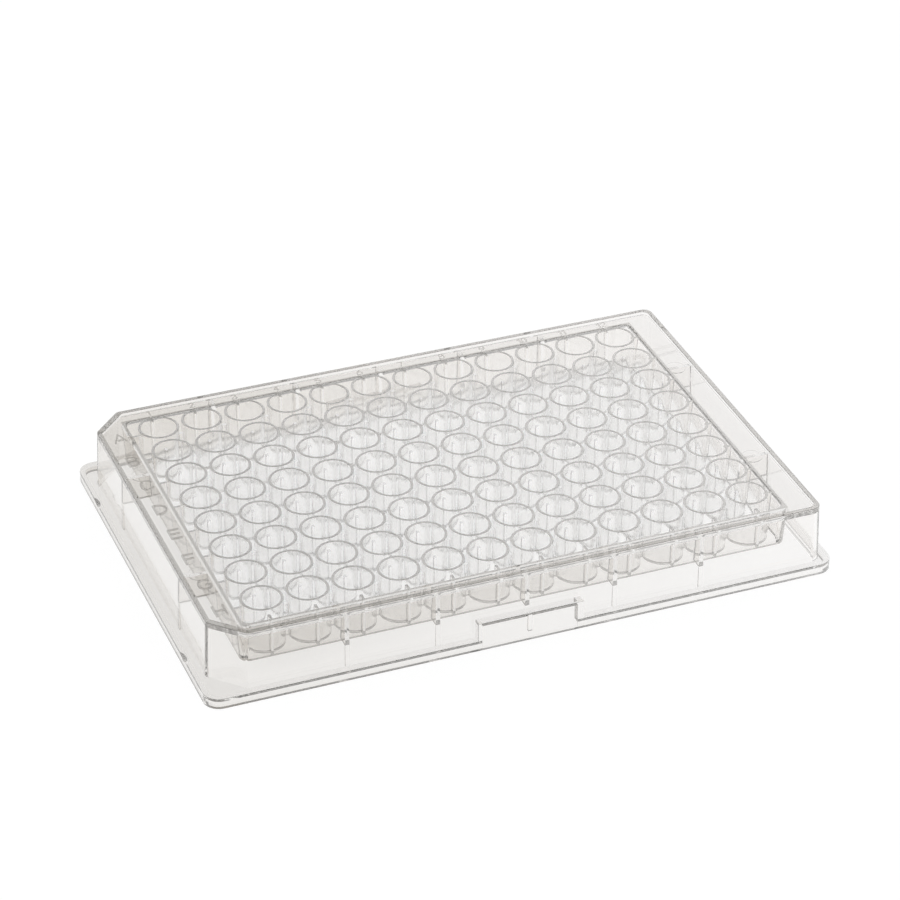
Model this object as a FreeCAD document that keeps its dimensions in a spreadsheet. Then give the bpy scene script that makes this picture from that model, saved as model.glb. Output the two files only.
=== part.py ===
"""A 96-well plate, moulded in one piece.

Millimetres. The origin is at the middle of the footprint on the bench, X runs
along the columns 1 to 12, Y towards row A and Z up. Every size has its own
name in the sheet, and the sketches and features take them from there.
"""
import FreeCAD
import Part
import Sketcher
import math
import os

V = FreeCAD.Vector
doc = FreeCAD.newDocument("WellPlate")

# ---------------------------------------------------------------- named sizes
SIZES = [
    # the grid of wells, and the foot's edges measured from the outer well centres
    ("pitch", 9.0), ("column_offset", 14.38), ("row_offset", 11.24),
    # foot, a low flange around the plate
    ("foot_corner", 3.18), ("foot_height", 2.15), ("foot_wall", 1.1), ("ledge_thickness", 1.0),
    # skirt, set in from the foot's edge and leaning in on its way up
    ("end_step", 1.98), ("side_step", 1.54), ("skirt_corner", 2.4), ("skirt_chamfer", 6.2),
    ("skirt_wall", 0.85), ("skirt_lean", 0.55),
    # heights at the top: the rims stand above the lip, and the lip above the deck
    ("plate_height", 14.6), ("rim_stand", 0.45), ("lip_height", 0.6), ("lip_width", 0.95),
    ("deck_thickness", 0.9),
    # tab in the middle of the long sides of the foot
    ("tab_length", 21.4), ("tab_top", 6.1), ("tab_wall", 1.0),
    # finger scoops in the upper edge of the foot's short side
    ("scoop_spread", 55.9), ("scoop_radius", 5.0), ("scoop_stand", 3.19),
    # rounding of the skirt's upright edges, and of the edges of lip, foot and tab
    ("edge_round", 1.4), ("inner_round", 0.55), ("lip_round", 0.12), ("foot_round", 0.1), ("tab_round", 0.1),
    # wells
    ("well_diameter", 7.16), ("well_wall", 0.53), ("well_bottom", 5.45), ("well_floor", 0.4),
    ("rim_bevel", 0.06),
    # inner wall around the wells, leaning out on its way up to the deck
    ("end_gap", 0.69), ("side_gap", 0.84), ("block_wall", 1.0), ("block_corner", 1.6),
    ("block_rise", 0.15), ("block_lean", 0.5), ("opening_edge", 0.25),
    # webs between the wells, and from the outer wells to the inner wall
    ("web_thickness", 0.55), ("web_rise", 0.2), ("web_drop", 1.3), ("edge_web_drop", 0.05),
    # ribs between the inner wall and the skirt, and beads below them on the skirt
    ("rib_thickness", 0.87), ("long_rib_bottom", 6.3), ("short_rib_bottom", 7.6),
    ("bead_bottom", 1.6), ("bead_depth", 0.45),
    # round pads under the deck, placed from the outer well centres
    ("pad_diameter", 4.2), ("pad_depth", 0.15), ("pad_offset", 7.7),
    ("pin_diameter", 1.9), ("pin_offset", 7.05),
    # raised row letters and column numbers, placed from the outer well centres
    ("letter_height", 3.3), ("letter_stroke", 0.36), ("letter_raise", 0.22), ("letter_offset", 8.1),
    ("number_height", 1.85), ("number_stroke", 0.24), ("number_offset", 6.8),
]
sheet = doc.addObject("Spreadsheet::Sheet", "Sizes")
for row, (name, value) in enumerate(SIZES, 1):
    sheet.set("A%d" % row, name)
    sheet.set("B%d" % row, str(value))
    sheet.setAlias("B%d" % row, name)
doc.recompute()


def size(name):
    """The value of a named size."""
    return float(sheet.get(name))


def cell(text):
    """An expression in which every named size reads from the sheet."""
    out, word = "", ""
    for ch in text + " ":
        if ch.isalnum() or ch == "_":
            word += ch
            continue
        out += "Sizes." + word if word in NAMES else word
        word = ""
        out += ch
    return out.strip()


NAMES = {name for name, _ in SIZES}


def value(text):
    """The number that an expression of named sizes gives."""
    scope = {name: size(name) for name in NAMES}
    total, sign = 0.0, 1.0
    for term in text.replace("-", "+-").split("+"):
        term = term.strip()
        if not term:
            continue
        sign = -1.0 if term.startswith("-") else 1.0
        product = 1.0
        for i, factor in enumerate(term.lstrip("- ").replace("/", "*/").split("*")):
            factor = factor.strip()
            divide = factor.startswith("/")
            factor = factor.lstrip("/ ")
            number = scope[factor] if factor in scope else float(factor)
            product = product / number if divide else product * number
        total += sign * product
    return total


body = None


def new_body(name, label):
    """Starts a body, into which the next sketches and features go."""
    global body
    body = doc.addObject("PartDesign::Body", name)
    body.Label = label
    body.AllowCompound = True
    return body


def new_sketch(name, height):
    """An empty sketch in a level plane at a height given by an expression."""
    sk = body.newObject("Sketcher::SketchObject", name)
    sk.AttachmentSupport = [(body.Origin.OriginFeatures[3], "")]
    sk.MapMode = "FlatFace"
    sk.setExpression("AttachmentOffset.Base.z", cell(height))
    return sk


def bind(sk, index, name, text):
    """Names a dimension of a sketch and ties it to an expression."""
    sk.renameConstraint(index, name)
    sk.setExpression("Constraints." + name, cell(text))


def outline(sk, half_x, half_y, corner, chamfer=None):
    """A closed outline centred on the origin, with rounded corners.

    The half sizes, corner and chamfer are expressions. With a chamfer, the two
    corners at minus X are cut straight and the other two stay round.
    """
    hx, hy, r = value(half_x), value(half_y), value(corner)
    c = value(chamfer) if chamfer else 0.0
    geo = []

    def line(x0, y0, x1, y1):
        geo.append(Part.LineSegment(V(x0, y0, 0), V(x1, y1, 0)))

    def arc(x, y, start):
        circle = Part.Circle(V(x, y, 0), V(0, 0, 1), r)
        geo.append(Part.ArcOfCircle(circle, start, start + math.pi / 2))

    cut = c if chamfer else r
    line(-hx + cut, -hy, hx - r, -hy)
    arc(hx - r, -hy + r, -math.pi / 2)
    line(hx, -hy + r, hx, hy - r)
    arc(hx - r, hy - r, 0)
    line(hx - r, hy, -hx + cut, hy)
    if chamfer:
        line(-hx + c, hy, -hx, hy - c)
    else:
        arc(-hx + r, hy - r, math.pi / 2)
    line(-hx, hy - cut, -hx, -hy + cut)
    if chamfer:
        line(-hx, -hy + c, -hx + c, -hy)
    else:
        arc(-hx + r, -hy + r, math.pi)
    sk.addGeometry(geo, False)
    add = sk.addConstraint
    C = Sketcher.Constraint
    for i in range(8):
        j = (i + 1) % 8
        straight = chamfer and (i in (5, 7) or j in (5, 7))
        add(C("Coincident" if straight else "Tangent", i, 2, j, 1))
    add(C("Horizontal", 0))
    add(C("Vertical", 2))
    add(C("Horizontal", 4))
    add(C("Vertical", 6))
    bind(sk, add(C("DistanceX", -1, 1, 2, 1, hx)), "right", half_x)
    bind(sk, add(C("DistanceX", 6, 1, -1, 1, hx)), "left", half_x)
    bind(sk, add(C("DistanceY", 0, 1, -1, 1, hy)), "front", half_y)
    bind(sk, add(C("DistanceY", -1, 1, 4, 1, hy)), "back", half_y)
    bind(sk, add(C("Radius", 1, r)), "round_a", corner)
    bind(sk, add(C("Radius", 3, r)), "round_b", corner)
    if chamfer:
        bind(sk, add(C("DistanceX", 5, 2, 5, 1, c)), "cut_ax", chamfer)
        bind(sk, add(C("DistanceY", 5, 2, 5, 1, c)), "cut_ay", chamfer)
        bind(sk, add(C("DistanceX", 7, 1, 7, 2, c)), "cut_bx", chamfer)
        bind(sk, add(C("DistanceY", 7, 2, 7, 1, c)), "cut_by", chamfer)
    else:
        bind(sk, add(C("Radius", 5, r)), "round_c", corner)
        bind(sk, add(C("Radius", 7, r)), "round_d", corner)


def box_sketch(sk, tag, x0, x1, y0, y1):
    """A rectangle between four expressions, tied to the origin."""
    a, b, c, d = value(x0), value(x1), value(y0), value(y1)
    n = sk.GeometryCount
    sk.addGeometry([Part.LineSegment(V(a, c, 0), V(b, c, 0)),
                    Part.LineSegment(V(b, c, 0), V(b, d, 0)),
                    Part.LineSegment(V(b, d, 0), V(a, d, 0)),
                    Part.LineSegment(V(a, d, 0), V(a, c, 0))], False)
    add = sk.addConstraint
    C = Sketcher.Constraint
    for i in range(4):
        add(C("Coincident", n + i, 2, n + (i + 1) % 4, 1))
    add(C("Horizontal", n))
    add(C("Vertical", n + 1))
    add(C("Horizontal", n + 2))
    add(C("Vertical", n + 3))
    for key, kind, point, text in (("x0", "DistanceX", (n, 1), x0), ("x1", "DistanceX", (n + 1, 1), x1),
                                   ("y0", "DistanceY", (n, 1), y0), ("y1", "DistanceY", (n + 2, 1), y1)):
        v = value(text)
        if v < 0:
            bind(sk, add(C(kind, point[0], point[1], -1, 1, -v)), tag + key, "-1 * (" + text + ")")
        else:
            bind(sk, add(C(kind, -1, 1, point[0], point[1], v)), tag + key, text)


def circle_sketch(sk, tag, x, y, radius):
    """A circle whose centre and radius are expressions."""
    a, b, r = value(x), value(y), value(radius)
    n = sk.GeometryCount
    sk.addGeometry([Part.Circle(V(a, b, 0), V(0, 0, 1), r)], False)
    add = sk.addConstraint
    C = Sketcher.Constraint
    bind(sk, add(C("Radius", n, r)), tag + "r", radius)
    for key, kind, v, text in (("x", "DistanceX", a, x), ("y", "DistanceY", b, y)):
        if v < 0:
            bind(sk, add(C(kind, n, 3, -1, 1, -v)), tag + key, "-1 * (" + text + ")")
        else:
            bind(sk, add(C(kind, -1, 1, n, 3, v)), tag + key, text)


def feature(kind, name, sk, length, down=False):
    """A pad or pocket of a sketch, by a length given as an expression."""
    f = body.newObject("PartDesign::" + kind, name)
    f.Profile = sk
    f.Type = 0
    f.Length = abs(value(length))
    f.setExpression("Length", cell(length))
    f.Reversed = down
    sk.Visibility = False
    doc.recompute()
    body.Tip = f
    return f


def lean(name, pad, angle, outward=False):
    """Leans the upright faces of a pad, which keeps its size at the bottom."""
    low, high = pad.Shape.BoundBox.ZMin, pad.Shape.BoundBox.ZMax
    sides, base = [], ""
    for i, face in enumerate(pad.Shape.Faces, 1):
        if face.BoundBox.ZLength > (high - low) / 2:
            sides.append("Face%d" % i)
        elif abs(face.CenterOfMass.z - low) < 1e-6:
            base = "Face%d" % i
    d = body.newObject("PartDesign::Draft", name)
    d.Base = (pad, sides)
    d.NeutralPlane = (pad, [base])
    d.Reversed = outward
    d.setExpression("Angle", angle)
    doc.recompute()
    body.Tip = d
    return d


def soften(name, numbers, radius):
    """Rounds the body's edges of these numbers by a named size."""
    f = body.newObject("PartDesign::Fillet", name)
    f.Base = (f.BaseFeature, ["Edge%d" % i for i in numbers])
    f.setExpression("Radius", "Sizes." + radius)
    doc.recompute()
    body.Tip = f
    return f


def upright_edges(shape):
    """The numbers of the skirt's upright edges at its two cut corners."""
    found = []
    for i, edge in enumerate(shape.Edges, 1):
        if edge.BoundBox.ZLength > size("plate_height") / 2 and edge.BoundBox.XMax < 0:
            found.append(i)
    return found


def level_edges(shape, height, half_x=1000, half_y=1000):
    """The numbers of the edges that lie level at a height, no further out than two half sizes."""
    found = []
    for i, edge in enumerate(shape.Edges, 1):
        box = edge.BoundBox
        level = abs(box.ZMin - height) < 0.001 and abs(box.ZMax - height) < 0.001
        if level and box.XMax < half_x and box.XMin > -half_x and box.YMax < half_y and box.YMin > -half_y:
            found.append(i)
    return found


def outer_edges(shape, height):
    """The numbers of the level edges at a height that lie on the foot's outline."""
    found = []
    for i in level_edges(shape, height):
        box = shape.Edges[i - 1].BoundBox
        reach = max(box.XMax - value(FOOT_X), -box.XMin - value(FOOT_X),
                    box.YMax - value(FOOT_Y), -box.YMin - value(FOOT_Y))
        if abs(reach) < 0.001:
            found.append(i)
    return found


def mirrored(name, source, plane):
    """Mirrors a feature in the XZ plane (1) or the YZ plane (2)."""
    m = body.newObject("PartDesign::Mirrored", name)
    m.Originals = [source]
    m.MirrorPlane = (body.Origin.OriginFeatures[3 + plane], [""])
    doc.recompute()
    body.Tip = m
    return m


def grid(name, source, nx, ny):
    """Repeats a feature at the pitch, nx columns by ny rows, centred."""
    multi = body.newObject("PartDesign::MultiTransform", name)
    multi.Originals = [source]
    steps = []
    for tag, axis, count in (("Columns", "X", nx), ("Rows", "Y", ny)):
        if count < 2:
            continue
        p = body.newObject("PartDesign::LinearPattern", name + tag)
        p.Direction = (body.Origin.OriginFeatures[0 if axis == "X" else 1], [""])
        p.Occurrences = count
        p.Length = (count - 1) * size("pitch")
        p.setExpression("Length", "Sizes.pitch * %d" % (count - 1))
        steps.append(p)
    multi.Transformations = steps
    doc.recompute()
    body.Tip = multi
    return multi


# ------------------------------------- places that the sizes give, as expressions
LAST_X, LAST_Y = "5.5 * pitch", "3.5 * pitch"
FOOT_X, FOOT_Y = LAST_X + " + column_offset", LAST_Y + " + row_offset"
SKIRT_X, SKIRT_Y = FOOT_X + " - end_step", FOOT_Y + " - side_step"
WALL_X = LAST_X + " + well_diameter / 2 + well_wall + end_gap + block_wall"
WALL_Y = LAST_Y + " + well_diameter / 2 + well_wall + side_gap + block_wall"
LIP_TOP = "plate_height - rim_stand"
DECK_TOP = LIP_TOP + " - lip_height"
DECK_UNDER = DECK_TOP + " - deck_thickness"
IN_DECK = DECK_TOP + " - deck_thickness / 2"
WALL_BOTTOM = "well_bottom + block_rise"
WEB_BOTTOM = "well_bottom + web_rise"


def negative(text):
    """The same expression with every term's sign turned."""
    return "-1 * " + text.replace(" - ", " # ").replace(" + ", " - ").replace(" # ", " + ")


# ------------------------------------------------------ foot, skirt and deck
SKIRT_ANGLE = cell("atan(skirt_lean / (" + LIP_TOP + "))")
outer_body = new_body("SkirtOuter", "skirt_outside")
sk = new_sketch("SkirtOutline", "0")
outline(sk, SKIRT_X, SKIRT_Y, "skirt_corner", "skirt_chamfer")
skirt = lean("SkirtLean", feature("Pad", "Skirt", sk, LIP_TOP), SKIRT_ANGLE)
soften("SkirtUprights", upright_edges(skirt.Shape), "edge_round")

sk = new_sketch("FootOutline", "0")
outline(sk, FOOT_X, FOOT_Y, "foot_corner")
foot = feature("Pad", "Foot", sk, "foot_height")
soften("FootEdge", outer_edges(foot.Shape, size("foot_height")), "foot_round")

sk = new_sketch("TabOutline", "0")
box_sketch(sk, "tab_", "-1 * tab_length / 2", "tab_length / 2", negative(FOOT_Y), FOOT_Y)
tab = feature("Pad", "Tab", sk, "tab_top")
soften("TabEdge", outer_edges(tab.Shape, size("tab_top")), "tab_round")

sk = new_sketch("DeckOutline", LIP_TOP)
outline(sk, SKIRT_X + " - skirt_lean - lip_width", SKIRT_Y + " - skirt_lean - lip_width",
        "skirt_corner - lip_width", "skirt_chamfer - lip_width / 2")
recess = feature("Pocket", "DeckRecess", sk, "lip_height")
soften("LipEdges", level_edges(recess.Shape, value(LIP_TOP)), "lip_round")

# the hollow under the deck, between the skirt and the inner wall
hollow_body = new_body("SkirtHollow", "skirt_hollow")
sk = new_sketch("HollowOutline", "0")
outline(sk, SKIRT_X + " - skirt_wall", SKIRT_Y + " - skirt_wall", "skirt_corner - skirt_wall",
        "skirt_chamfer - skirt_wall / 2")
hollow = lean("HollowLean", feature("Pad", "Hollow", sk, DECK_UNDER), SKIRT_ANGLE)
soften("HollowUprights", upright_edges(hollow.Shape), "inner_round")

sk = new_sketch("FootHollowOutline", "0")
outline(sk, FOOT_X + " - foot_wall", FOOT_Y + " - foot_wall", "foot_corner - foot_wall")
feature("Pad", "FootHollow", sk, "foot_height - ledge_thickness")

sk = new_sketch("TabHollowOutline", "0")
box_sketch(sk, "tab_", "-1 * tab_length / 2 + tab_wall", "tab_length / 2 - tab_wall",
           negative(FOOT_Y) + " + tab_wall", FOOT_Y + " - tab_wall")
feature("Pad", "TabHollow", sk, "tab_top - tab_wall")

# ------------------------------------------------- inner wall and its opening
WALL_HEIGHT = DECK_TOP + " - well_bottom - block_rise"
WALL_ANGLE = cell("atan(block_lean / (" + WALL_HEIGHT + "))")
wall_body = new_body("InnerWall", "inner_wall")
sk = new_sketch("WallOutline", WALL_BOTTOM)
outline(sk, WALL_X, WALL_Y, "block_corner")
lean("WallLean", feature("Pad", "Wall", sk, WALL_HEIGHT), WALL_ANGLE, outward=True)

opening_body = new_body("WellSpace", "space_around_wells")
sk = new_sketch("OpeningOutline", WALL_BOTTOM)
outline(sk, WALL_X + " - block_wall", WALL_Y + " - block_wall", "block_corner - block_wall / 2")
lean("OpeningLean", feature("Pad", "Opening", sk, WALL_HEIGHT), WALL_ANGLE, outward=True)

# ------------------------------------------------------------- ribs and pads
# the ribs stand midway between columns or rows, and end inside the two walls
rib_body = new_body("Ribs", "ribs")
RIB_X0, RIB_X1 = WALL_X + " - block_wall / 2", SKIRT_X + " - skirt_lean - skirt_wall / 4"
RIB_Y0, RIB_Y1 = WALL_Y + " - block_wall / 2", SKIRT_Y + " - skirt_lean - skirt_wall / 4"
LONG = ("-4 * pitch", "-2 * pitch", "0 * pitch", "2 * pitch", "4 * pitch")
SHORT = ("-2 * pitch", "2 * pitch")


def pad_up(name, draw, low, high, plane):
    """A pad of what draw puts in a sketch, from low to high, and its mirror image."""
    sk = new_sketch(name + "Outline", low)
    draw(sk)
    pad = feature("Pad", name, sk, high + " + " + negative(low))
    return mirrored(name + "Pair", pad, plane)


def long_bars(y0, y1, where=LONG):
    """Draws a bar from y0 to y1 at each of the places along a long side."""
    def draw(sk):
        for i, x in enumerate(where):
            box_sketch(sk, "b%d_" % i, x + " - rib_thickness / 2", x + " + rib_thickness / 2", y0, y1)
    return draw


def short_bars(x0, x1):
    """Draws a bar from x0 to x1 at each of the places along a short side."""
    def draw(sk):
        for i, y in enumerate(SHORT):
            box_sketch(sk, "b%d_" % i, x0, x1, y + " - rib_thickness / 2", y + " + rib_thickness / 2")
    return draw


def long_pins(sk):
    for i, x in enumerate(LONG):
        circle_sketch(sk, "p%d_" % i, x, LAST_Y + " + pin_offset", "pin_diameter / 2")


def short_pads(sk):
    for i, y in enumerate(SHORT):
        circle_sketch(sk, "p%d_" % i, LAST_X + " + pad_offset", y, "pad_diameter / 2")


pad_up("LongRibs", long_bars(RIB_Y0, RIB_Y1), "long_rib_bottom", IN_DECK, 1)
pad_up("ShortRibs", short_bars(RIB_X0, RIB_X1), "short_rib_bottom", IN_DECK, 2)
pad_up("LongBeads", long_bars(SKIRT_Y + " - skirt_wall - bead_depth", SKIRT_Y + " - skirt_wall / 2",
                              LONG[:2] + LONG[3:]), "bead_bottom", "long_rib_bottom + rib_thickness", 1)
pad_up("TabBeads", long_bars(FOOT_Y + " - tab_wall - bead_depth", FOOT_Y + " - tab_wall / 2", LONG[2:3]),
       "bead_bottom", "tab_top - tab_wall / 2", 1)
pad_up("ShortBeads", short_bars(SKIRT_X + " - skirt_wall - bead_depth", SKIRT_X + " - skirt_wall / 2"),
       "bead_bottom", "short_rib_bottom + rib_thickness", 2)
pad_up("LongPins", long_pins, DECK_UNDER + " - pad_depth", IN_DECK, 1)
pad_up("ShortPads", short_pads, DECK_UNDER + " - pad_depth", IN_DECK, 2)

# ------------------------------------------------------------ webs and wells
WEB_X = WALL_X + " - block_wall / 2 + block_lean / 2"
WEB_Y = WALL_Y + " - block_wall / 2 + block_lean / 2"
FIRST_X, FIRST_Y = negative(LAST_X), negative(LAST_Y)


def webs(name, label, high, ranges_x, ranges_y, nx, ny):
    """A body of upright webs between the ranges, repeated at the pitch."""
    made = new_body(name, label)
    sk = new_sketch(name + "Outline", WEB_BOTTOM)
    for i, (x0, x1) in enumerate(ranges_x):
        for j, (y0, y1) in enumerate(ranges_y):
            box_sketch(sk, "w%d%d_" % (i, j), x0, x1, y0, y1)
    grid(name + "All", feature("Pad", name + "One", sk, high + " - well_bottom - web_rise"), nx, ny)
    return made


def thin(place):
    """The range across a web's thickness, about its middle."""
    return [(place + " - web_thickness / 2", place + " + web_thickness / 2")]


WEB_TOP, EDGE_WEB_TOP = DECK_TOP + " - web_drop", DECK_TOP + " - edge_web_drop"
web_bodies = [
    webs("RowWebs", "row_webs", WEB_TOP, [(negative(WEB_X), WEB_X)], thin(FIRST_Y), 1, 8),
    webs("ColumnWebs", "column_webs", WEB_TOP, thin(FIRST_X), [(negative(WEB_Y), WEB_Y)], 12, 1),
    webs("RowEdgeWebs", "row_edge_webs", EDGE_WEB_TOP, [(negative(WEB_X), FIRST_X), (LAST_X, WEB_X)],
         thin(FIRST_Y), 1, 8),
    webs("ColumnEdgeWebs", "column_edge_webs", EDGE_WEB_TOP, thin(FIRST_X),
         [(negative(WEB_Y), FIRST_Y), (LAST_Y, WEB_Y)], 12, 1)]

tube_body = new_body("Tubes", "well_tubes")
sk = new_sketch("TubeOutline", "well_bottom")
circle_sketch(sk, "tube_", FIRST_X, FIRST_Y, "well_diameter / 2 + well_wall")
grid("TubeGrid", feature("Pad", "Tube", sk, "plate_height - well_bottom"), 12, 8)

bore_body = new_body("Bores", "well_bores")
sk = new_sketch("BoreOutline", "well_bottom + well_floor")
circle_sketch(sk, "bore_", FIRST_X, FIRST_Y, "well_diameter / 2")
grid("BoreGrid", feature("Pad", "Bore", sk, "plate_height - well_bottom - well_floor"), 12, 8)

# ------------------------------------------------- row letters, column numbers
# Each stroke is a path in a box one unit high: points joined by lines, or by
# an arc where an entry gives the arc's middle and end.
GLYPHS = {
    "A": [[(0, 0), (0.42, 1), (0.84, 0)], [(0.13, 0.3), (0.71, 0.3)]],
    "B": [[(0, 0), (0, 1)], [(0, 1), (0.4, 1), (0.64, 0.765, 0.4, 0.53), (0, 0.53)],
          [(0.4, 0.53), (0.67, 0.265, 0.4, 0), (0, 0)]],
    "C": [[(0.74, 0.83), (0.4, 1, 0, 0.6), (0, 0.4), (0.4, 0, 0.74, 0.17)]],
    "D": [[(0, 0), (0, 1)], [(0, 1), (0.26, 1), (0.76, 0.5, 0.26, 0), (0, 0)]],
    "E": [[(0.68, 1), (0, 1), (0, 0), (0.68, 0)], [(0, 0.52), (0.6, 0.52)]],
    "F": [[(0.68, 1), (0, 1), (0, 0)], [(0, 0.52), (0.6, 0.52)]],
    "G": [[(0.74, 0.83), (0.4, 1, 0, 0.6), (0, 0.4), (0.4, 0, 0.76, 0.2), (0.76, 0.46), (0.46, 0.46)]],
    "H": [[(0, 0), (0, 1)], [(0.7, 0), (0.7, 1)], [(0, 0.52), (0.7, 0.52)]],
    "0": [[(0, 0.3), (0, 0.7), (0.3, 1, 0.6, 0.7), (0.6, 0.3)], [(0.6, 0.3), (0.3, 0, 0, 0.3)]],
    "1": [[(0.05, 0.78), (0.3, 1), (0.3, 0)]],
    "2": [[(0, 0.72), (0.3, 1, 0.6, 0.7), (0, 0), (0.6, 0)]],
    "3": [[(0, 0.82), (0.3, 1, 0.58, 0.76), (0.5, 0.6, 0.25, 0.53)],
          [(0.25, 0.53), (0.62, 0.3, 0.3, 0), (0.12, 0.05, 0, 0.2)]],
    "4": [[(0.62, 0.28), (0, 0.28), (0.45, 1)], [(0.45, 1), (0.45, 0)]],
    "5": [[(0.56, 1), (0.06, 1), (0.02, 0.56), (0.33, 0.62)],
          [(0.33, 0.62), (0.62, 0.3, 0.28, 0), (0.1, 0.04, 0, 0.16)]],
    "6": [[(0.5, 0.95), (0.12, 0.75, 0, 0.32), (0.3, 0, 0.6, 0.32)], [(0.6, 0.32), (0.3, 0.62, 0, 0.32)]],
    "7": [[(0, 1), (0.6, 1), (0.2, 0)]],
    "8": [[(0.3, 0.54), (0.04, 0.77, 0.3, 1)], [(0.3, 1), (0.56, 0.77, 0.3, 0.54)],
          [(0.3, 0.54), (0, 0.27, 0.3, 0)], [(0.3, 0), (0.6, 0.27, 0.3, 0.54)]],
    "9": [[(0.1, 0.05), (0.48, 0.25, 0.6, 0.68), (0.3, 1, 0, 0.68)], [(0, 0.68), (0.3, 0.38, 0.6, 0.68)]],
}


def stroke(path, height, thick, depth, shift):
    """One stroke of a glyph as a raised bar, moved along X by a shift."""
    def at(x, y):
        return V(x * height + shift, (y - 0.5) * height, 0)
    here, edges = at(*path[0]), []
    for step in path[1:]:
        there = at(*step[-2:])
        if len(step) == 4:
            edges.append(Part.Arc(here, at(step[0], step[1]), there).toShape())
        else:
            edges.append(Part.LineSegment(here, there).toShape())
        here = there
    if len(path) == 2 and len(path[1]) == 2:
        start = at(*path[0])
        along = (here - start).normalize() * (thick / 2)
        across = V(-along.y, along.x, 0)
        corners = [start - along - across, here + along - across,
                   here + along + across, start - along + across]
        rim = Part.makePolygon(corners + corners[:1])
    else:
        rim = Part.Wire(edges).makeOffset2D(thick / 2, 0, False, False)
    return Part.Face(rim).extrude(V(0, 0, depth))


def glyph(ch, height, thick, depth, shift):
    """One glyph as a raised solid, moved along X by a shift."""
    bars = [stroke(path, height, thick, depth, shift) for path in GLYPHS[ch]]
    return bars[0].fuse(bars[1:]).removeSplitter() if len(bars) > 1 else bars[0]


def lettering(name, label, text, height, thick):
    """A word of raised glyphs in line thickness thick, centred on its own origin."""
    height, depth = height - thick, size("letter_raise") + value(BURY)
    boxes = [glyph(ch, height, thick, depth, 0).BoundBox for ch in text]
    shift = -(sum(box.XLength for box in boxes) + thick * (len(text) - 1)) / 2
    glyphs = []
    for ch, box in zip(text, boxes):
        glyphs.append(glyph(ch, height, thick, depth, shift - box.XMin))
        shift += box.XLength + thick
    f = doc.addObject("Part::Feature", name)
    f.Label = label
    f.Shape = glyphs[0] if len(glyphs) == 1 else Part.makeCompound(glyphs)
    return f


def place(word, x, y):
    """Sets a word on the deck with its foot inside it."""
    word.setExpression("Placement.Base.x", cell(x))
    word.setExpression("Placement.Base.y", cell(y))
    word.setExpression("Placement.Base.z", cell(DECK_TOP + " - " + BURY))


BURY = "deck_thickness / 4"
words = []
for i, ch in enumerate("ABCDEFGH"):
    word = lettering("Letter" + ch, "row_letter_" + ch, ch, size("letter_height"), size("letter_stroke"))
    place(word, FIRST_X + " - letter_offset", "%g * pitch" % (3.5 - i))
    words.append(word)
for i in range(12):
    word = lettering("Number%d" % (i + 1), "column_number_%d" % (i + 1), str(i + 1),
                     size("number_height"), size("number_stroke"))
    place(word, "%g * pitch" % (i - 5.5), LAST_Y + " + number_offset")
    words.append(word)
doc.recompute()


# -------------------------------------------------------------- one moulding
def join(kind, name, label, parts):
    """A boolean of several shapes."""
    f = doc.addObject("Part::" + kind, name)
    if kind == "Cut":
        f.Base, f.Tool = parts
    else:
        f.Shapes = list(parts)
    f.Label = label
    doc.recompute()
    return f


def rounded(name, label, source, numbers, radius):
    """A shape with some of its edges rounded."""
    f = doc.addObject("Part::Fillet", name)
    f.Base = source
    f.Edges = [(i, radius, radius) for i in numbers]
    f.Label = label
    doc.recompute()
    return f


scoops = []
for i, y in enumerate(("scoop_spread / 2", "-1 * scoop_spread / 2"), 1):
    ball = doc.addObject("Part::Sphere", "Scoop%d" % i)
    ball.Label = "foot_scoop_%d" % i
    ball.setExpression("Radius", "Sizes.scoop_radius")
    ball.setExpression("Placement.Base.x", cell(negative(FOOT_X) + " - scoop_stand"))
    ball.setExpression("Placement.Base.y", cell(y))
    ball.setExpression("Placement.Base.z", cell("foot_height + scoop_stand"))
    scoops.append(ball)
doc.recompute()
both = join("MultiFuse", "Scoops", "foot_scoops", scoops)
scooped = join("Cut", "ScoopedSkirt", "skirt_with_scoops", (outer_body, both))
shell = join("Cut", "SkirtShell", "skirt_and_deck", (scooped, hollow_body))
ribbed = join("MultiFuse", "RibbedShell", "skirt_ribs_and_wall", (shell, wall_body, rib_body))
opened = join("Cut", "OpenFrame", "frame_around_wells", (ribbed, opening_body))
inner = level_edges(opened.Shape, value(DECK_TOP), value(WALL_X), value(WALL_Y))
edged = rounded("EdgedFrame", "frame_with_rounded_opening", opened, inner, size("opening_edge"))
lettered = join("MultiFuse", "LetteredFrame", "frame_with_lettering", [edged] + words)
web_grid = join("MultiFuse", "WebGrid", "web_grid", web_bodies)
well_grid = join("MultiFuse", "WellGrid", "wells_and_webs", (web_grid, tube_body))
solid = join("MultiFuse", "SolidPlate", "plate_before_boring", (lettered, well_grid))
bored = join("Cut", "BoredPlate", "plate_with_wells", (solid, bore_body))
rims = level_edges(bored.Shape, size("plate_height"), value(WALL_X), value(WALL_Y))
plate = doc.addObject("Part::Chamfer", "Plate")
plate.Base = bored
bevel = min(size("rim_bevel"), 0.45 * size("well_wall"))
plate.Edges = [(i, bevel, bevel) for i in rims]
plate.Label = "well_plate"
doc.recompute()

for thing in doc.Objects:
    if "Invalid" in thing.State or "Error" in thing.State:
        raise RuntimeError("%s could not be made: %s" % (thing.Name, thing.State))
shape = plate.Shape
if shape.isNull() or not shape.isValid() or len(shape.Solids) != 1:
    raise RuntimeError("the plate is not one valid solid")
os.makedirs("parts", exist_ok=True)
shape.exportStep("parts/" + plate.Label + ".step")
box = shape.optimalBoundingBox(False)
print("%s: %d faces, %.2f x %.2f x %.2f mm, %.0f mm3"
      % (plate.Label, len(shape.Faces), box.XLength, box.YLength, box.ZLength, shape.Volume))
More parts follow.
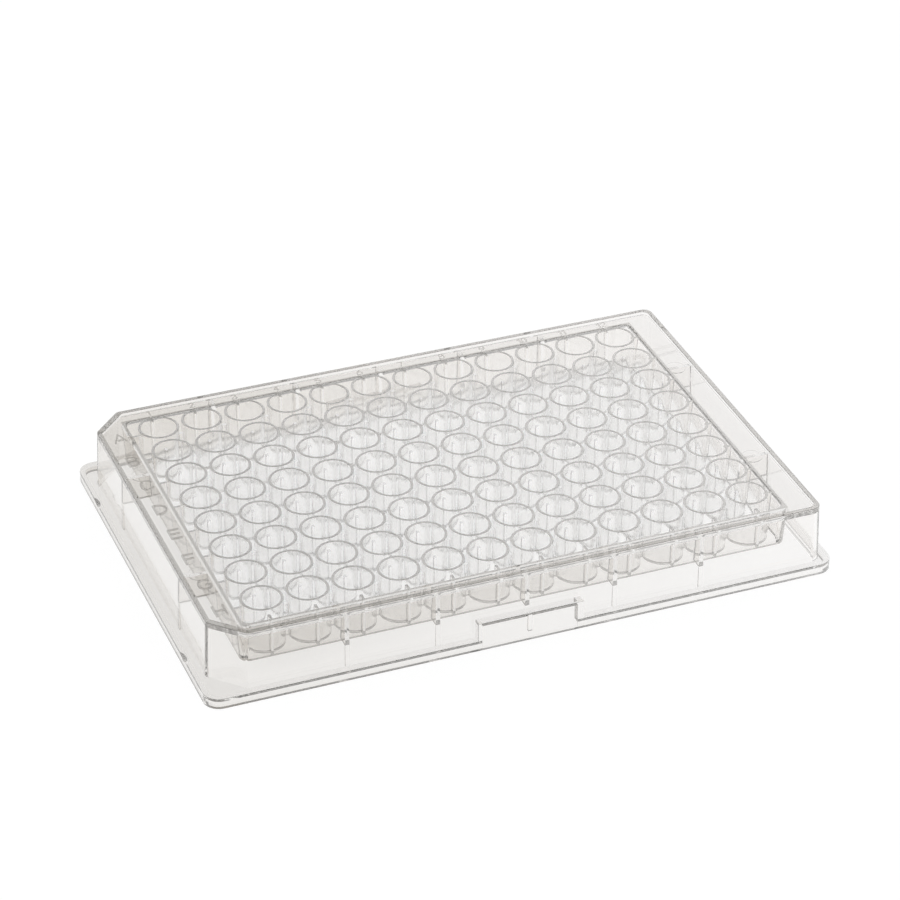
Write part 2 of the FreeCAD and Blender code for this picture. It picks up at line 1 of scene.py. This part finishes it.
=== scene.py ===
"""A 96-well plate moulded in clear polystyrene, on a plain pale floor.

Metres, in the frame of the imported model: X runs along columns 1 to 12, Y
towards row A and Z up. The plate is one moulding, so it is one piece here as
well: clear plastic shows every joint inside it.
"""
import bpy
import numpy as np
from mathutils import Matrix, Vector


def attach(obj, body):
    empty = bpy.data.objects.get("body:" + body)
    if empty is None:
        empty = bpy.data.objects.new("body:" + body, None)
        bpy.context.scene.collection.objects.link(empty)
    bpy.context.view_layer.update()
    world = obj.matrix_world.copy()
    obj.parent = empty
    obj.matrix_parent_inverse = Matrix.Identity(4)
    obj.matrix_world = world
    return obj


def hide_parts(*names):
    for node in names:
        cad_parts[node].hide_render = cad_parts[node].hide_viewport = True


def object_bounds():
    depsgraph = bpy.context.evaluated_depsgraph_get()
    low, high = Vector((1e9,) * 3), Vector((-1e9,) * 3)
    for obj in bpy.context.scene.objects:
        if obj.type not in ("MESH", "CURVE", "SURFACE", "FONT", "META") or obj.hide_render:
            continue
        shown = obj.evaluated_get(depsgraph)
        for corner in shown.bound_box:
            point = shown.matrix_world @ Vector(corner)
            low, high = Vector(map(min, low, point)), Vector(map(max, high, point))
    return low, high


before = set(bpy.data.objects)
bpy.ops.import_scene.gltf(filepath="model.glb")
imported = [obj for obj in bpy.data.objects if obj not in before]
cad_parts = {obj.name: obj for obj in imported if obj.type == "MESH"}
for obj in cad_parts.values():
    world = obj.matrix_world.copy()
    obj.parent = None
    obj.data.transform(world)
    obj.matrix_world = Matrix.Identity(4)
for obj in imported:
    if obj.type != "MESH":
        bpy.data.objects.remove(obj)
cad_low, cad_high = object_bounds()
MM = 0.001
TOP = cad_high.z  # the rims of the wells
PITCH = 9 * MM  # from well to well
BLOCK = (53.8 * MM, 35.8 * MM)  # the wells lie within this far of the middle
BORE_REACH = 3.8 * MM  # a bore's wall lies within this far of its axis, a tube's outer face doesn't
TOUCH = 0.01 * MM  # nearer than this counts as at the same height
SHADED = (55 * MM, 37 * MM)  # half the size of the shade painted under the wells
SOFT_EDGE = 8 * MM
ROOM_WHITE, ROOM_BLACK = 0.34, 0.74  # sines of the angles above level, about 20 and 48 degrees
FLOOR_HALF = 3.0
RAY_STEPS = 256


# --------------------------------------------------------------- small helpers
def linear(code):
    """An sRGB hex colour as linear red, green, blue and alpha."""
    parts = [int(code[i:i + 2], 16) / 255 for i in (0, 2, 4)]
    return [c / 12.92 if c <= 0.04045 else ((c + 0.055) / 1.055) ** 2.4 for c in parts] + [1.0]


def node(tree, kind, settings=(), **links):
    """Adds a node, sets its properties and sockets, and links its inputs by name."""
    made = tree.nodes.new("ShaderNode" + kind)
    for key, given in dict(settings).items():
        if isinstance(key, str) and hasattr(made, key):
            setattr(made, key, given)
        else:
            made.inputs[key].default_value = given
    for key, output in links.items():
        name = key.replace("_", " ")
        tree.links.new(output, made.inputs[int(key[1:]) if key[1:].isdigit() else name])
    return made


def within(tree, value, low, high):
    """1 where a value lies between two bounds and 0 elsewhere: |value - middle| <= half the range."""
    return node(tree, "Math", {"operation": "COMPARE", 1: (low + high) / 2, 2: (high - low) / 2},
                i0=value).outputs[0]


def product(tree, *factors):
    """The product of several values."""
    total = factors[0]
    for factor in factors[1:]:
        total = node(tree, "Math", {"operation": "MULTIPLY"}, i0=total, i1=factor).outputs[0]
    return total


def fresh(tree):
    """Empties a node tree and returns it."""
    tree.nodes.clear()
    return tree


# ------------------------------------------------------------------ the camera
def studio_camera():
    """A long lens above the front left corner, half a degree off level."""
    ahead = Vector((0.31365, 0.78230, -0.53817))
    right = Vector((0.93010, -0.36721, 0.00827))
    turned = Matrix((right, right.cross(ahead), -ahead)).transposed().to_4x4()
    turned.translation = Vector((-0.20994, -0.52432, 0.37744))
    lens = bpy.data.cameras.new("studio_camera")
    lens.sensor_width = 36.0
    lens.lens = 137.05
    lens.clip_start, lens.clip_end = 0.01, 50.0
    camera = bpy.data.objects.new("studio_camera", lens)
    camera.matrix_world = turned
    bpy.context.scene.collection.objects.link(camera)
    bpy.context.scene.camera = camera


# -------------------------------------------------------------- the moulding
def unit(rows):
    """Rows of vectors, each made one long."""
    return rows / np.maximum(np.linalg.norm(rows, axis=1), 1e-20)[:, None]


def face_of_each(triangles, count):
    """The number of the CAD face that each triangle lies on.

    The triangles of one CAD face share their vertices and no two faces do, so
    every vertex takes the lowest number among its neighbours until none changes.
    """
    lowest = np.arange(count)
    while True:
        least = lowest[triangles].min(axis=1)
        after = lowest.copy()
        for corner in range(3):
            np.minimum.at(after, triangles[:, corner], least)
        after = after[after]
        if (after == lowest).all():
            return lowest[triangles[:, 0]]
        lowest = after


def corner_angles(points, triangles):
    """The angle of each triangle at each corner, by the cosine of its two sides."""
    angles = []
    for a, b, c in ((0, 1, 2), (1, 2, 0), (2, 0, 1)):
        first = unit(points[triangles[:, b]] - points[triangles[:, a]])
        second = unit(points[triangles[:, c]] - points[triangles[:, a]])
        angles.append(np.arccos(np.clip((first * second).sum(axis=1), -1, 1)))
    return np.stack(angles, axis=1)


def plate_moulding(source):
    """The moulding as one closed mesh, with the true normal at every corner.

    Vertices at one place are merged. A corner's normal is the mean of the
    normals of its own CAD face's triangles that meet there, weighed by their
    angles, so flat faces stay flat and tubes and roundings are smooth. The
    bevels of the well rims are shaded round: along their upper edge they take
    the normal of the flat top, and along their lower edge that of the tube.
    """
    mesh = source.data
    points = np.empty(len(mesh.vertices) * 3)
    mesh.vertices.foreach_get("co", points)
    points = points.reshape(-1, 3)
    triangles = np.empty(len(mesh.loops), np.int32)
    mesh.loops.foreach_get("vertex_index", triangles)
    triangles = triangles.reshape(-1, 3)

    face = face_of_each(triangles, len(points))
    across = [points[triangles[:, i]] - points[triangles[:, 0]] for i in (1, 2)]
    normal = unit(np.cross(*across))
    weight = corner_angles(points, triangles)
    places, first, merged = np.unique(np.round(points / 1e-7).astype(np.int64), axis=0,
                                      return_index=True, return_inverse=True)
    merged = merged.reshape(-1)[triangles]

    # one sum of normals for every pair of merged vertex and CAD face
    pair = merged.astype(np.int64) * len(points) + face[:, None]
    _, slot = np.unique(pair, return_inverse=True)
    slot = slot.reshape(-1, 3)
    corner = np.zeros((len(triangles), 3, 3))
    for axis in range(3):
        total = np.bincount(slot.ravel(), (weight * normal[:, axis, None]).ravel())
        corner[:, :, axis] = total[slot]

    # rim bevels: slanting triangles that reach the top
    height = points[triangles][:, :, 2]
    slant = (height.max(axis=1) > TOP - TOUCH) & (np.abs(np.abs(normal[:, 2]) - 0.707) < 0.05)
    side = np.zeros((len(places), 3))
    upright = ~slant & (np.abs(normal[:, 2]) < 0.1)
    for i in range(3):
        np.add.at(side, merged[upright, i], normal[upright] * weight[upright, i, None])
    upper = slant[:, None] & (height > TOP - TOUCH)
    lower = slant[:, None] & ~upper
    corner[upper] = (0, 0, 1)
    corner[lower] = side[merged[lower]]

    made = bpy.data.meshes.new("well_plate_moulding")
    made.from_pydata(points[first].tolist(), [], merged.tolist())
    made.update()
    made.polygons.foreach_set("use_smooth", np.ones(len(made.polygons), bool))
    made.normals_split_custom_set(unit(corner.reshape(-1, 3)).tolist())
    piece = bpy.data.objects.new("well_plate_moulding", made)
    bpy.context.scene.collection.objects.link(piece)
    return piece


# ----------------------------------------------------------------- materials
def clear_polystyrene():
    """Clear polystyrene with a slight grey of its own, chosen by its look.

    Roughness is 0.04 to 0.06 in patches, plus 0.025 on the upright faces of
    the wells, plus another 0.035 on their bores, which makes them hazy. Top
    faces of rims, lip, letters and inner wall have a darker grey tint, which
    is a painted shade. The tints of the top faces, and of all that lies
    outside the wells, grow evenly darker towards column 1: a painted shade,
    as if the light came from the column 12 side. A very shallow waviness
    breaks up the reflections.
    """
    made = bpy.data.materials.new("clear_moulded_polystyrene")
    made.use_nodes = True
    tree = fresh(made.node_tree)
    place = node(tree, "TexCoord").outputs["Object"]
    x, y, z = node(tree, "SeparateXYZ", Vector=place).outputs
    facing = node(tree, "SeparateXYZ", Vector=node(tree, "NewGeometry").outputs["True Normal"]).outputs["Z"]
    upright, upward = within(tree, facing, -0.3, 0.3), within(tree, facing, 0.3, 1.1)

    # the bores of the wells: their axes stand one pitch apart, the nearest ones half a pitch from the middle
    wells = product(tree, within(tree, x, -BLOCK[0], BLOCK[0]), within(tree, y, -BLOCK[1], BLOCK[1]))
    squares = []
    for axis in (x, y):
        lap = node(tree, "Math", {"operation": "WRAP", 1: 0.0, 2: PITCH}, i0=axis).outputs[0]
        off = node(tree, "Math", {"operation": "SUBTRACT", 1: PITCH / 2}, i0=lap).outputs[0]
        squares.append(product(tree, off, off))
    reach = node(tree, "Math", {"operation": "ADD"}, i0=squares[0], i1=squares[1]).outputs[0]
    tubes = product(tree, wells, upright)
    bores = product(tree, tubes, within(tree, reach, 0.0, BORE_REACH ** 2))

    # the finish: polished, plus a haze on the tubes and another on the bores
    patches = node(tree, "TexNoise", {"Scale": 1 / (5 * MM), "Detail": 2.0, "Roughness": 0.5}, Vector=place)
    polished = node(tree, "MapRange", {"From Min": 0.3, "From Max": 0.7, "To Min": 0.04, "To Max": 0.06},
                    Value=patches.outputs["Fac"])
    hazy = node(tree, "Math", {"operation": "MULTIPLY_ADD", 1: 0.025}, i0=tubes, i2=polished.outputs[0])
    finish = node(tree, "Math", {"operation": "MULTIPLY_ADD", 1: 0.035}, i0=bores, i2=hazy.outputs[0])
    waves = node(tree, "TexNoise", {"Scale": 1 / (8 * MM), "Detail": 1.0, "Roughness": 0.4}, Vector=place)
    ripple = node(tree, "Bump", {"Strength": 1.0, "Distance": 0.006 * MM}, Height=waves.outputs["Fac"])

    # the colour: painted shade, darker towards column 1 and on the top faces
    along = node(tree, "MapRange", {"From Min": -64 * MM, "From Max": 64 * MM}, Value=x).outputs[0]
    raised = product(tree, upward, within(tree, z, TOP - 0.86 * MM, TOP + MM))
    frame_top = product(tree, upward, within(tree, z, TOP - 1.15 * MM, TOP - 0.95 * MM),
                        within(tree, x, -55.5 * MM, 55.5 * MM), within(tree, y, -37.6 * MM, 37.6 * MM))
    on_top = node(tree, "Math", {"operation": "ADD"}, i0=raised, i1=frame_top).outputs[0]
    # painted shade: the plastic outside the wells darkens evenly towards column 1, as if lit from the column 12 side
    outside_tint_and_side_shade = node(tree, "Mix", {"data_type": "RGBA", 6: linear("efedea"), 7: linear("fcfbfa")}, i0=along)
    clear = node(tree, "Mix", {"data_type": "RGBA", 7: (1.0, 0.998, 0.995, 1.0)}, i0=wells, i6=outside_tint_and_side_shade.outputs[2])
    # painted shade on the top faces of rims, lip, letters and inner wall, also darker towards column 1
    painted_top_shade = node(tree, "Mix", {"data_type": "RGBA", 6: linear("a09e9a"), 7: linear("c4c1bd")}, i0=along)
    tint = node(tree, "Mix", {"data_type": "RGBA"}, i0=on_top, i6=clear.outputs[2], i7=painted_top_shade.outputs[2])
    plastic = node(tree, "BsdfPrincipled", {"IOR": 1.5, "Transmission Weight": 1.0}, Base_Color=tint.outputs[2],
                   Roughness=finish.outputs[0], Normal=ripple.outputs[0])
    body = node(tree, "VolumeAbsorption", {"Color": linear("bcbab7"), "Density": 6.0})
    node(tree, "OutputMaterial", Surface=plastic.outputs[0], Volume=body.outputs[0])
    return made


def seen_directly(tree):
    """1 for what the camera sees, straight or by gloss or glass, and 0 for what lights the object."""
    path = node(tree, "LightPath").outputs
    either = node(tree, "Math", {"operation": "MAXIMUM"}, i0=path["Is Camera Ray"], i1=path["Is Glossy Ray"])
    return node(tree, "Math", {"operation": "MAXIMUM"}, i0=either.outputs[0],
                i1=path["Is Transmission Ray"]).outputs[0]


def white_card():
    """Matt white card under the plate, which keeps a quarter of the plate's shadow.

    The card lights the plate as matt white. Where it is seen it is a quarter
    as bright by that light, and glows for the rest, which brings it up to
    plain white. A painted shade lies under the wells: it takes 0.09 off the
    glow at the column 1 end, and evenly less up to the middle, where it ends.
    """
    made = bpy.data.materials.new("white_card")
    made.use_nodes = True
    tree = fresh(made.node_tree)
    x, y, _ = node(tree, "SeparateXYZ", Vector=node(tree, "NewGeometry").outputs["Position"]).outputs
    inside = []
    for axis, half in zip((x, y), SHADED):
        size = node(tree, "Math", {"operation": "ABSOLUTE"}, i0=axis)
        inside.append(node(tree, "MapRange", {"From Min": half, "From Max": half - SOFT_EDGE},
                           Value=size.outputs[0]).outputs[0])
    along = node(tree, "MapRange", {"From Min": -SHADED[0], "From Max": 0.0, "To Min": 0.09, "To Max": 0.0}, Value=x)
    shade = product(tree, inside[0], inside[1], along.outputs[0])
    level = node(tree, "Math", {"operation": "SUBTRACT", 0: 0.92}, i1=shade)
    matt = node(tree, "BsdfDiffuse", {"Color": linear("e7e7e7")})
    quarter = node(tree, "BsdfDiffuse", {"Color": linear("7c7c7c")})
    glow = node(tree, "Emission", {"Color": linear("ffffff")}, Strength=level.outputs[0])
    plain = node(tree, "AddShader", i0=quarter.outputs[0], i1=glow.outputs[0])
    both = node(tree, "MixShader", i0=seen_directly(tree), i1=matt.outputs[0], i2=plain.outputs[0])
    node(tree, "OutputMaterial", Surface=both.outputs[0])
    made.cycles.emission_sampling = "NONE"  # the glow is only to be seen, it lights nothing
    return made


def studio_light():
    """Even light from all round; what is seen of the room is white low down and black high up."""
    world = bpy.data.worlds.new("studio")
    bpy.context.scene.world = world
    world.use_nodes = True
    tree = fresh(world.node_tree)
    up = node(tree, "SeparateXYZ", Vector=node(tree, "TexCoord").outputs["Generated"]).outputs["Z"]
    room = node(tree, "MapRange", {"From Min": ROOM_WHITE, "From Max": ROOM_BLACK, "To Min": 1.0, "To Max": 0.0},
                Value=up)
    shown = node(tree, "Background", {"Strength": 1.0}, Color=room.outputs[0])
    light = node(tree, "Background", {"Color": linear("bcbcbc"), "Strength": 1.0})
    both = node(tree, "MixShader", i0=seen_directly(tree), i1=light.outputs[0], i2=shown.outputs[0])
    node(tree, "OutputWorld", Surface=both.outputs[0])
    world.cycles.sampling_method = "NONE"  # even light needs no aiming at it


# ------------------------------------------------------------------ the scene
studio_camera()
studio_light()

card = bpy.data.meshes.new("floor")
card.from_pydata([(x * FLOOR_HALF, y * FLOOR_HALF, -TOUCH) for x, y in ((-1, -1), (1, -1), (1, 1), (-1, 1))], [],
                 [(0, 1, 2, 3)])
floor = bpy.data.objects.new("floor", card)
bpy.context.scene.collection.objects.link(floor)
floor.data.materials.append(white_card())

moulding = plate_moulding(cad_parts["well_plate"])
moulding.data.materials.append(clear_polystyrene())
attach(moulding, "root")
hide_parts("well_plate")

# a ray can be reflected many times inside the plastic, and one that runs out of steps is drawn black
cycles = bpy.context.scene.cycles
cycles.max_bounces = cycles.transmission_bounces = cycles.glossy_bounces = RAY_STEPS

bpy.context.scene.view_settings.view_transform = "Standard"
